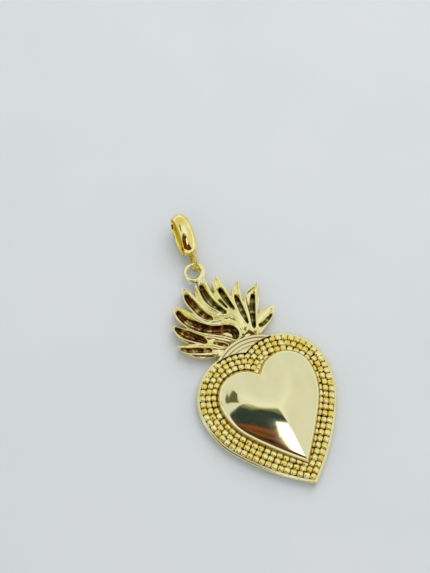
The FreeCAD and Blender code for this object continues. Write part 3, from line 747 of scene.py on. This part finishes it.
class PENDANT_OT_flame_crown(bpy.types.Operator):
    """Build the crown of flames with the hanging ring"""
    bl_idname = "pendant.flame_crown"
    bl_label = "Flame crown"

    def execute(self, context):
        sizes = context.scene.pendant_crown
        colours = context.scene.pendant_colours
        bm = bmesh.new()
        for stations in FLAMES.values():
            ribbon(bm, stations, sizes.foot, sizes.level)
        bmesh.ops.holes_fill(bm, edges=[edge for edge in bm.edges if edge.is_boundary])
        web = Matrix.Translation((0, sizes.foot + sizes.web_rise, sizes.web / 2))
        bmesh.ops.create_cone(bm, cap_ends=True, segments=64, radius1=sizes.web_radius,
                              radius2=sizes.web_radius, depth=sizes.web, matrix=web)
        ring = Vector((sizes.ring_across, sizes.ring_up, sizes.ring_level))
        before = len(bm.verts)
        wire_ring(bm, ring, sizes.ring_radius, sizes.ring_wire, Vector((0, 0, 1)), Vector((1, 0, 0)))
        bm.verts.ensure_lookup_table()
        for vert in bm.verts[before:]:
            # The wire is thickest low on the right, where the middle flame's tip runs into it.
            outward = Vector((vert.co.x - ring.x, vert.co.y - ring.y, 0)).normalized()
            core = ring + outward * sizes.ring_radius
            swell = 1.0 + 0.3 * math.cos(math.atan2(outward.y, outward.x) + 0.6)
            vert.co = core + (vert.co - core) * swell
        bmesh.ops.recalc_face_normals(bm, faces=bm.faces)
        crown = object_of(context, bm, "crown_stock")
        remesh = crown.modifiers.new("grains", "REMESH")
        remesh.mode = "VOXEL"
        remesh.voxel_size = sizes.voxel
        ease = crown.modifiers.new("ease", "SMOOTH")
        ease.factor = 0.5
        ease.iterations = 4
        joined = with_modifiers(context, crown)
        self.carve(joined, sizes)
        # The flames' ridges in flame gilt, with painted shade and reflections in the hollows.
        material = gilt_material("gilt_flames", colours.flame, 0.14, 900, 0.03 * MM,
                                 lambda tree, place: painted_hollow_shade(tree, place, colours), painted_hollow_share)
        placed(joined, "flame_crown", PENDANT, CASTING_NODE, material, 180)
        return {"FINISHED"}

    def carve(self, mesh, sizes):
        """Raise the ridges and sink the hollows of the flames on the joined mesh."""
        count = len(mesh.vertices)
        places = np.empty(count * 3)
        mesh.vertices.foreach_get("co", places)
        places = places.reshape(count, 3) / MM
        flat = places[:, :2] - np.array([0, sizes.foot / MM])
        rise = np.zeros(count)
        for line, width, height in RIDGES:
            share = distance_to_line(flat, rounded_line(line)) / (width * RIDGE_SPREAD)
            rise = np.maximum(rise, height * np.exp(-share ** 2))
        hollow = np.zeros(count)
        sink = np.zeros(count)
        for line, width, depth in HOLLOWS:
            share = 1 / (1 + distance_to_line(flat, rounded_line(line), width * HOLLOW_SPREAD) ** 4)
            hollow = np.maximum(hollow, share)
            sink = np.maximum(sink, depth * share)
        ring = np.array([sizes.ring_across, sizes.ring_up]) / MM
        from_ring = np.hypot(*(places[:, :2] - ring).T)
        free = np.clip((from_ring - 2.0) / 0.6, 0, 1)
        level = sizes.level / MM
        share = np.clip(places[:, 2] / level, 0, 1) ** 1.5
        places[:, 2] = np.maximum(places[:, 2] + free * share * (rise - sink), 0)
        mesh.vertices.foreach_set("co", (places * MM).ravel())
        # A mask of the hollows, which the flames' material turns into painted shade and reflections.
        shade = mesh.attributes.new("hollow", "FLOAT", "POINT")
        shade.data.foreach_set("value", hollow * free * (places[:, 2] > 0.3))


class PENDANT_OT_bail(bpy.types.Operator):
    """Build the domed oval bail and the small loop threaded round the hanging ring"""
    bl_idname = "pendant.bail"
    bl_label = "Bail"

    def execute(self, context):
        crown = context.scene.pendant_crown
        sizes = context.scene.pendant_bail
        colours = context.scene.pendant_colours
        place = self.place(crown, sizes)
        middle = Vector((0, sizes.loop_pull + sizes.loop_radius + sizes.loop_wire / 2 - sizes.loop_sink
                         + sizes.length / 2, sizes.loop_lift))
        bm = bmesh.new()
        half = sizes.width / 2
        section = [(-half, -sizes.wall + 0.08 * MM)]
        for step in range(13):
            angle = math.pi * step / 12
            section.append((-half * math.cos(angle), -(sizes.wall - sizes.edge) * math.cos(angle) ** 2))
        section.append((half, -sizes.wall + 0.08 * MM))
        section.append((half - 0.15 * MM, -sizes.wall))
        section.append((-half + 0.15 * MM, -sizes.wall))
        verts = [bm.verts.new((across, 1.0 + out, 0)) for across, out in section]
        edges = [bm.edges.new(pair) for pair in zip(verts, verts[1:] + verts[:1])]
        bmesh.ops.spin(bm, geom=verts + edges, cent=(0, 0, 0), axis=(1, 0, 0), angle=math.tau, steps=120,
                       use_merge=True)
        for vert in bm.verts:
            angle = math.atan2(vert.co.z, vert.co.y)
            out = math.hypot(vert.co.y, vert.co.z) - 1.0
            edge = Vector((0, sizes.length / 2 * math.cos(angle), sizes.height / 2 * math.sin(angle)))
            normal = Vector((0, math.cos(angle) / sizes.length, math.sin(angle) / sizes.height)).normalized()
            vert.co = Vector((vert.co.x, 0, 0)) + middle + edge + normal * out
        bmesh.ops.transform(bm, matrix=place, verts=bm.verts)
        gilt = gilt_material("gilt_bail", colours.gilt, 0.08, 300, 0.004 * MM, deep=colours.deep,
                             drift_scale=320)
        finished(bm, "bail_band", BAIL, BAIL_NODE, gilt)
        bm = bmesh.new()
        centre = Vector((0, sizes.loop_pull, sizes.loop_lift))
        wire_ring(bm, centre, sizes.loop_radius, sizes.loop_wire, Vector((1, 0, 0)), Vector((0, 1, 0)))
        bmesh.ops.transform(bm, matrix=place, verts=bm.verts)
        wire = gilt_material("gilt_loop", colours.deep, 0.12, 900, 0.008 * MM)
        finished(bm, "bail_loop", BAIL, BAIL_NODE, wire)
        return {"FINISHED"}

    def place(self, crown, sizes):
        """Where the bail's hinge is on the hanging ring, and how the bail is turned."""
        on_ring = math.radians(62)
        hinge = Vector((crown.ring_across + crown.ring_radius * math.cos(on_ring),
                        crown.ring_up + crown.ring_radius * math.sin(on_ring), crown.ring_level))
        turned = Matrix.Rotation(sizes.turn, 4, "Z") @ Matrix.Rotation(sizes.lean, 4, "Y")
        return Matrix.Translation(hinge) @ turned @ Matrix.Rotation(sizes.rise, 4, "X")


class PENDANT_OT_studio(bpy.types.Operator):
    """Set up the floor, the lights and the camera"""
    bl_idname = "pendant.studio"
    bl_label = "Studio"

    def execute(self, context):
        colours = context.scene.pendant_colours
        self.floor(context, colours)
        self.lights(context)
        self.boards(context)
        self.camera(context)
        context.scene.view_settings.view_transform = "Standard"
        return {"FINISHED"}

    def floor(self, context, colours):
        bm = bmesh.new()
        bmesh.ops.create_grid(bm, x_segments=2, y_segments=2, size=2.0)
        floor = object_of(context, bm, "floor")
        material, tree = empty_material("pale_board")
        place = add_node(tree, "ShaderNodeTexCoord").outputs["Object"]
        pale = tuple(colours.floor)
        soft = (pale[0] * 0.96, pale[1] * 0.97, pale[2] * 0.98, 1)
        base = mixed(tree, ranged(tree, noise(tree, place, 40, 4), 0.35, 0.65), pale, soft)
        surface(tree, "ShaderNodeBsdfPrincipled", {"Roughness": 0.55}, {"Base Color": base})
        floor.data.materials.append(material)

    def lights(self, context):
        world = bpy.data.worlds.new("studio")
        context.scene.world = world
        world.use_nodes = True
        tree = world.node_tree
        background = tree.nodes["Background"]
        way = add_node(tree, "ShaderNodeTexCoord").outputs["Generated"]
        up = add_node(tree, "ShaderNodeSeparateXYZ", links={"Vector": way}).outputs["Z"]
        low = ranged(tree, up, 0.0, 0.35, SKY_HORIZON, SKY_SIDES, smooth=True)
        drift = maths(tree, "MULTIPLY", noise(tree, way, 2.6, 2), SKY_DRIFT)
        high = ranged(tree, up, 0.8, 1.0, 0.0, SKY_TOP, smooth=True)
        strength = maths(tree, "ADD", maths(tree, "ADD", low, high), drift)
        tree.links.new(strength, background.inputs["Strength"])
        background.inputs["Color"].default_value = (0.98, 0.99, 1.0, 1)
        lamp = bpy.data.lights.new("window", "AREA")
        lamp.shape = "RECTANGLE"
        lamp.size = LAMP_SIZE
        lamp.size_y = LAMP_SIZE
        lamp.energy = LAMP_WATTS
        window = bpy.data.objects.new("window", lamp)
        context.scene.collection.objects.link(window)
        window.location = Vector(LAMP_PLACE)
        window.rotation_euler = (-window.location).to_track_quat("-Z", "Y").to_euler()
        window.visible_glossy = False

    def boards(self, context):
        """Boards that only the polish mirrors: a banded dark one, a white one and two small dark ones."""
        self.board(context, "dark_board", self.banded(), DARK_BOARD_DISTANCE, *DARK_BOARD)
        for name, tone, strength, corner, along, upward in BOARDS:
            material, tree = empty_material(name)
            surface(tree, "ShaderNodeEmission", {"Color": tone, "Strength": strength})
            self.board(context, name, material, BOARD_DISTANCE, corner, along, upward)

    def banded(self):
        """The dark board's bands from low to high: streaked brown, speckled blue, olive and pale."""
        dark, tree = empty_material("dark_board")
        place = add_node(tree, "ShaderNodeTexCoord").outputs["Object"]
        length_one = add_node(tree, "ShaderNodeVectorMath", links={0: place}, operation="NORMALIZE")
        way = length_one.outputs["Vector"]
        parts = add_node(tree, "ShaderNodeSeparateXYZ", links={"Vector": way}).outputs
        # The bands are tilted: they lie lower where the board turns towards +Y.
        tilted = maths(tree, "ADD", parts["Z"], maths(tree, "MULTIPLY", parts["Y"], BAND_TILT))
        level = maths(tree, "ADD", tilted, maths(tree, "MULTIPLY", noise(tree, way, 5, 2), 0.05))
        along = add_node(tree, "ShaderNodeCombineXYZ", links={"X": parts["X"], "Y": parts["Y"], "Z": tilted})
        drawn = add_node(tree, "ShaderNodeMapping", {"Scale": (2.5, 2.5, 28.0)},
                         {"Vector": along.outputs["Vector"]})
        streak = ranged(tree, noise(tree, drawn.outputs["Vector"], 1.0, 3), 0.44, 0.6)
        speckle = ranged(tree, noise(tree, way, 75, 4, 0.7), 0.48, 0.75)
        brown = mixed(tree, streak, (0.012, 0.006, 0.005, 1), (0.24, 0.085, 0.03, 1))
        blue = mixed(tree, speckle, (0.02, 0.03, 0.034, 1), (0.12, 0.19, 0.19, 1))
        tone = mixed(tree, ranged(tree, level, *BROWN_END), brown, blue)
        tone = mixed(tree, ranged(tree, level, *BLUE_END, smooth=True), tone, (0.24, 0.25, 0.12, 1))
        tone = mixed(tree, ranged(tree, level, *OLIVE_END, smooth=True), tone, (0.85, 0.86, 0.84, 1))
        surface(tree, "ShaderNodeEmission", {"Strength": 1.0}, {"Color": tone})
        return dark

    def board(self, context, name, material, distance, corner, along, upward):
        """A board bent round the pendant, from a corner along two sides."""
        bm = bmesh.new()
        bmesh.ops.create_grid(bm, x_segments=12, y_segments=12, size=0.5)
        for vert in bm.verts:
            run = vert.co.x + 0.5
            rise = vert.co.y + 0.5
            azimuth = math.radians(corner[0] + run * along[0] + rise * upward[0])
            elevation = math.radians(corner[1] + run * along[1] + rise * upward[1])
            vert.co = distance * Vector((math.cos(azimuth) * math.cos(elevation),
                                         math.sin(azimuth) * math.cos(elevation), math.sin(elevation)))
        board = object_of(context, bm, name)
        board.data.materials.append(material)
        board.visible_camera = False
        board.visible_diffuse = False
        board.visible_shadow = False

    def camera(self, context):
        data = bpy.data.cameras.new("camera")
        data.sensor_fit = "AUTO"
        data.sensor_width = 36.0
        data.lens = FOCAL_PIXELS * data.sensor_width / PHOTO_SIZE[1]
        camera = bpy.data.objects.new("camera", data)
        context.scene.collection.objects.link(camera)
        context.scene.camera = camera
        azimuth = math.radians(CAMERA_AZIMUTH)
        elevation = math.radians(CAMERA_ELEVATION)
        back = Vector((math.sin(azimuth) * math.cos(elevation), -math.cos(azimuth) * math.cos(elevation),
                       math.sin(elevation)))
        camera.location = (Vector(CAMERA_TARGET) + back * CAMERA_DISTANCE) * MM
        camera.rotation_euler = back.to_track_quat("Z", "Y").to_euler()
        data.clip_start = 0.005


class PENDANT_PT_panel(bpy.types.Panel):
    """The pendant's pieces, sizes and colours"""
    bl_label = "Pendant"
    bl_idname = "PENDANT_PT_panel"
    bl_space_type = "VIEW_3D"
    bl_region_type = "UI"
    bl_category = "Pendant"

    def draw(self, context):
        for operator in BUILD_ORDER:
            self.layout.operator(operator.bl_idname)
        for group in GROUPS:
            settings = getattr(context.scene, group)
            for name in settings.__annotations__:
                self.layout.prop(settings, name)


BUILD_ORDER = (PENDANT_OT_heart_plate, PENDANT_OT_puffed_heart, PENDANT_OT_bead_rows, PENDANT_OT_collar,
               PENDANT_OT_flame_crown, PENDANT_OT_bail, PENDANT_OT_studio)
GROUPS = {
    "pendant_heart": PendantHeartSizes,
    "pendant_crown": PendantCrownSizes,
    "pendant_bail": PendantBailSizes,
    "pendant_colours": PendantColours,
}


def register():
    for name, group in GROUPS.items():
        bpy.utils.register_class(group)
        setattr(bpy.types.Scene, name, PointerProperty(type=group))
    for item in BUILD_ORDER + (PENDANT_PT_panel,):
        bpy.utils.register_class(item)


def unregister():
    for item in reversed(BUILD_ORDER + (PENDANT_PT_panel,)):
        bpy.utils.unregister_class(item)
    for name, group in GROUPS.items():
        delattr(bpy.types.Scene, name)
        bpy.utils.unregister_class(group)


def main():
    register()
    bpy.ops.pendant.heart_plate()
    bpy.ops.pendant.puffed_heart()
    bpy.ops.pendant.bead_rows()
    bpy.ops.pendant.collar()
    bpy.ops.pendant.flame_crown()
    bpy.ops.pendant.bail()
    bpy.ops.pendant.studio()


if __name__ == "__main__":
    main()
